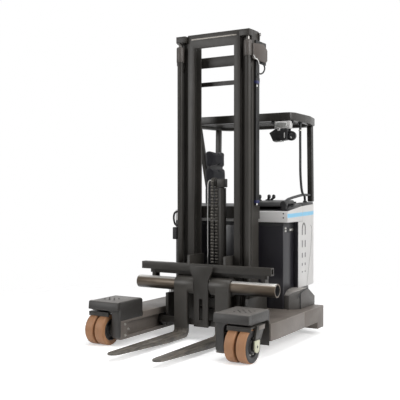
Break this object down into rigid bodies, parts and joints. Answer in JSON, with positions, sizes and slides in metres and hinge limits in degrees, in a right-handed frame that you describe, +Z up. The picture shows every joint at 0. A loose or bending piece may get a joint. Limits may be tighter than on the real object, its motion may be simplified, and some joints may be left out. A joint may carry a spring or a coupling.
{
  "type": "reach truck",
  "caption": "Battery reach truck for long loads: nested lift mast on a reach carriage, forks on a shaft, steered twin load wheels and a side-seated driver's place.",
  "frame": {"origin": "the floor under the middle of the overall box", "axes": "+X to the truck's left, the forks point to -Y, +Z up"},
  "size_m": [1.7342, 2.635, 2.955],
  "materials": {
    "frame_paint": "satin brownish grey chassis paint, scuffed",
    "cover_paint": "fine textured dark grey coating",
    "dark_paint": "satin charcoal paint",
    "fork_paint": "charcoal paint worn on the top of the blades",
    "battery_case": "blue-black powder coat",
    "hood_grey": "moulded light grey",
    "panel_grey": "moulded pale grey",
    "black_plastic": "fine textured black",
    "seat_fabric": "black woven seat cloth",
    "tan_tyre": "tan polyurethane tread",
    "wheel_hub": "black cast rim",
    "bright_steel": "ground and chromed",
    "chain_steel": "oiled leaf chain"
  },
  "bodies": {
    "truck": {"wheel_arm_left": "frame_paint", "wheel_arm_right": "frame_paint", "rear_frame": "frame_paint", "wheel_cover_left": "cover_paint", "wheel_cover_right": "cover_paint", "fender_left": "cover_paint", "fender_right": "cover_paint", "drive_housing": "cover_paint", "battery": "battery_case", "hood": "hood_grey", "body_panel_left": "panel_grey", "body_panel_right": "panel_grey", "control_console": "black_plastic", "steering_console": "black_plastic", "seat_base": "black_plastic", "seat_cushion": "seat_fabric", "seat_back": "seat_fabric", "guard_frame": "dark_paint", "guard_pillar_left": "dark_paint", "guard_pillar_right": "dark_paint", "guard_post_left": "dark_paint", "guard_post_right": "dark_paint", "hand_rail": "black_plastic", "work_lamps": "black_plastic"},
    "left_bogie": {"bogie_left": "dark_paint"},
    "right_bogie": {"bogie_right": "dark_paint"},
    "left_load_wheels": {"outer_load_tyre_left": "tan_tyre", "inner_load_tyre_left": "tan_tyre", "load_wheel_hub_left": "wheel_hub"},
    "right_load_wheels": {"outer_load_tyre_right": "tan_tyre", "inner_load_tyre_right": "tan_tyre", "load_wheel_hub_right": "wheel_hub"},
    "drive_turntable": {"drive_unit": "dark_paint"},
    "drive_tyre": {"drive_wheel": "tan_tyre"},
    "reach_unit": {"reach_carriage": "dark_paint", "outer_mast": "dark_paint", "lift_cylinder_left": "dark_paint", "lift_cylinder_right": "dark_paint", "hose_run": "black_plastic"},
    "middle_stage": {"middle_mast": "dark_paint", "lift_rod_left": "bright_steel", "lift_rod_right": "bright_steel"},
    "inner_stage": {"inner_mast": "dark_paint", "free_lift_cylinder": "dark_paint"},
    "chain_head": {"free_lift_head": "dark_paint", "lift_chain": "chain_steel"},
    "carriage": {"fork_carriage": "dark_paint"},
    "fork_frame": {"fork_shaft": "bright_steel", "tilt_frame": "dark_paint"},
    "left_fork": {"fork_left": "fork_paint"},
    "right_fork": {"fork_right": "fork_paint"}
  },
  "joints": [
    {"name": "reach", "type": "slide", "parent": "truck", "child": "reach_unit", "axis": [0, -1, 0], "range_m": [0, 0.55]},
    {"name": "mast_lift", "type": "slide", "parent": "reach_unit", "child": "middle_stage", "axis": [0, 0, 1], "range_m": [0, 2.3]},
    {"name": "inner_lift", "type": "slide", "parent": "middle_stage", "child": "inner_stage", "axis": [0, 0, 1], "range_m": [0, 2.3]},
    {"name": "carriage_lift", "type": "slide", "parent": "inner_stage", "child": "carriage", "axis": [0, 0, 1], "range_m": [0, 2]},
    {"name": "free_lift", "type": "slide", "parent": "inner_stage", "child": "chain_head", "axis": [0, 0, 1], "range_m": [0, 1], "deforming": ["lift_chain"]},
    {"name": "fork_tilt", "type": "hinge", "parent": "carriage", "child": "fork_frame", "pos_m": [0, -0.1235, 0.52], "axis": [-1, 0, 0], "range_deg": [-2, 4]},
    {"name": "fork_spread_left", "type": "slide", "parent": "fork_frame", "child": "left_fork", "axis": [1, 0, 0], "range_m": [0, 0.18]},
    {"name": "fork_spread_right", "type": "slide", "parent": "fork_frame", "child": "right_fork", "axis": [-1, 0, 0], "range_m": [0, 0.18]},
    {"name": "steer_left_bogie", "type": "hinge", "parent": "truck", "child": "left_bogie", "pos_m": [0.7251, -0.6425, 0.1425], "axis": [0, 0, 1], "range_deg": [0, 90]},
    {"name": "steer_right_bogie", "type": "hinge", "parent": "truck", "child": "right_bogie", "pos_m": [-0.7251, -0.6425, 0.1425], "axis": [0, 0, -1], "range_deg": [0, 90]},
    {"name": "left_load_wheel_spin", "type": "hinge", "parent": "left_bogie", "child": "left_load_wheels", "pos_m": [0.7251, -0.7625, 0.1425], "axis": [1, 0, 0], "continuous": true},
    {"name": "right_load_wheel_spin", "type": "hinge", "parent": "right_bogie", "child": "right_load_wheels", "pos_m": [-0.7251, -0.7625, 0.1425], "axis": [1, 0, 0], "continuous": true},
    {"name": "drive_steer", "type": "hinge", "parent": "truck", "child": "drive_turntable", "pos_m": [0, 1.0175, 0.1715], "axis": [0, 0, 1], "range_deg": [-90, 90]},
    {"name": "drive_wheel_spin", "type": "hinge", "parent": "drive_turntable", "child": "drive_tyre", "pos_m": [0, 1.0175, 0.1715], "axis": [1, 0, 0], "continuous": true}
  ],
  "couplings": [
    {"joint": "inner_lift", "follows": "mast_lift", "ratio": 1},
    {"joint": "free_lift", "follows": "carriage_lift", "ratio": 0.5},
    {"joint": "fork_spread_right", "follows": "fork_spread_left", "ratio": 1}
  ]
}
